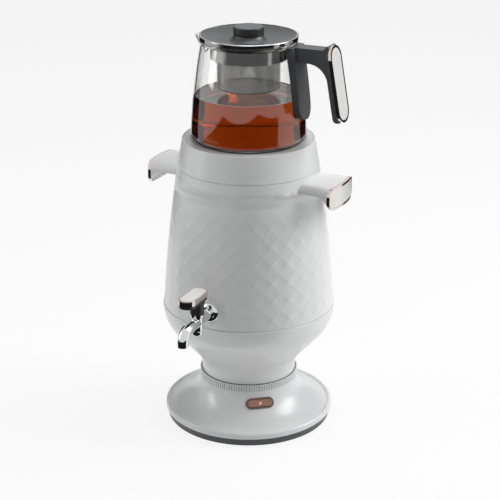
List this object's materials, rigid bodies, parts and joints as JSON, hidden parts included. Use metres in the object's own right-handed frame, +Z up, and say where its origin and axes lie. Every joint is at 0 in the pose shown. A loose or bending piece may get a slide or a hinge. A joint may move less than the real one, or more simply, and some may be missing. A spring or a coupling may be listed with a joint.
{
  "type": "electric samovar",
  "caption": "White electric samovar: round foot with a switch, turning faceted water tank with tap and side handles, glass teapot with infuser and lid on top.",
  "frame": {"origin": "centre of the foot's underside, on the table", "axes": "+Z up; the tap points along -Y; side handles along +X and -X; teapot handle along +X"},
  "size_m": [0.239, 0.2697, 0.4732],
  "materials": {
    "white_enamel": "gloss white enamel",
    "white_plastic": "gloss white moulding",
    "dark_plastic": "satin dark grey moulding",
    "black_plastic": "black moulding",
    "grey_plastic": "satin grey",
    "inner_plastic": "natural moulding, hidden",
    "chrome": "polished chrome",
    "rose_gold": "polished rose gold plate",
    "pearl": "pearl white insert",
    "steel": "stainless steel",
    "aluminium": "cast aluminium",
    "brass": "turned brass",
    "silicone": "translucent silicone",
    "rubber": "black rubber",
    "glass": "clear borosilicate glass",
    "lens": "red lamp lens",
    "grey_metal": "light grey enamel"
  },
  "bodies": {
    "foot": {"foot_shell": "white_enamel", "base_cover": "dark_plastic", "rubber_feet": "rubber", "foot_screws": "steel", "cable_gland": "black_plastic", "base_carrier": "inner_plastic", "swivel_washer": "inner_plastic", "base_connector": "black_plastic", "ribbed_ring": "white_plastic", "switch_bezel": "rose_gold", "switch_body": "black_plastic", "terminal_block": "inner_plastic"},
    "switch_button": {"switch_button": "rose_gold", "switch_lens": "lens"},
    "tank_body": {"swivel_hub": "inner_plastic", "retaining_ring": "steel", "tank_connector": "black_plastic", "bowl_shell": "white_enamel", "chassis_plate": "steel", "clamp_studs": "steel", "clamp_nuts": "steel", "body_shell": "white_enamel", "shoulder_ring": "white_enamel", "water_tank": "steel", "tank_seal": "silicone", "heater_plate": "aluminium", "heating_element": "steel", "thermostat": "aluminium", "side_handle_right": "white_plastic", "side_trim_right": "rose_gold", "side_insert_right": "pearl", "side_handle_left": "white_plastic", "side_trim_left": "rose_gold", "side_insert_left": "pearl", "handle_screws": "steel", "tap_body": "chrome", "tap_flange": "chrome", "tap_spacer": "inner_plastic", "tap_gasket": "silicone", "tap_nut": "brass", "tap_collar": "chrome"},
    "tap_lever": {"tap_plug": "brass", "tap_lever": "black_plastic", "tap_lever_trim": "rose_gold", "tap_lever_insert": "pearl"},
    "tank_lid": {"tank_lid": "grey_metal"},
    "teapot": {"pot_glass": "glass", "pot_handle": "dark_plastic", "pot_handle_trim": "rose_gold", "pot_handle_insert": "pearl"},
    "infuser": {"infuser_collar": "steel", "infuser_basket": "steel"},
    "pot_lid": {"lid_band": "chrome", "lid_plate": "grey_plastic", "lid_knob": "black_plastic", "knob_cap": "grey_plastic", "lid_screw": "steel"}
  },
  "joints": [
    {"name": "switch_press", "type": "slide", "parent": "foot", "child": "switch_button", "axis": [-0.5595, 0.7034, -0.4384], "range_m": [0, 0.0014], "stiffness_N_per_m": 400},
    {"name": "body_swivel", "type": "hinge", "parent": "foot", "child": "tank_body", "pos_m": [0, 0, 0.055], "axis": [0, 0, 1], "continuous": true},
    {"name": "tap_turn", "type": "hinge", "parent": "tank_body", "child": "tap_lever", "pos_m": [0, -0.129, 0.166], "axis": [0, 0, 1], "range_deg": [0, 90]},
    {"name": "tank_lid_lift", "type": "slide", "parent": "tank_body", "child": "tank_lid", "axis": [0, 0, 1], "range_m": [0, 0.05]},
    {"name": "teapot_lift", "type": "slide", "parent": "tank_lid", "child": "teapot", "axis": [0, 0, 1], "range_m": [0, 0.12]},
    {"name": "infuser_lift", "type": "slide", "parent": "teapot", "child": "infuser", "axis": [0, 0, 1], "range_m": [0, 0.08]},
    {"name": "lid_lift", "type": "slide", "parent": "infuser", "child": "pot_lid", "axis": [0, 0, 1], "range_m": [0, 0.04]}
  ]
}
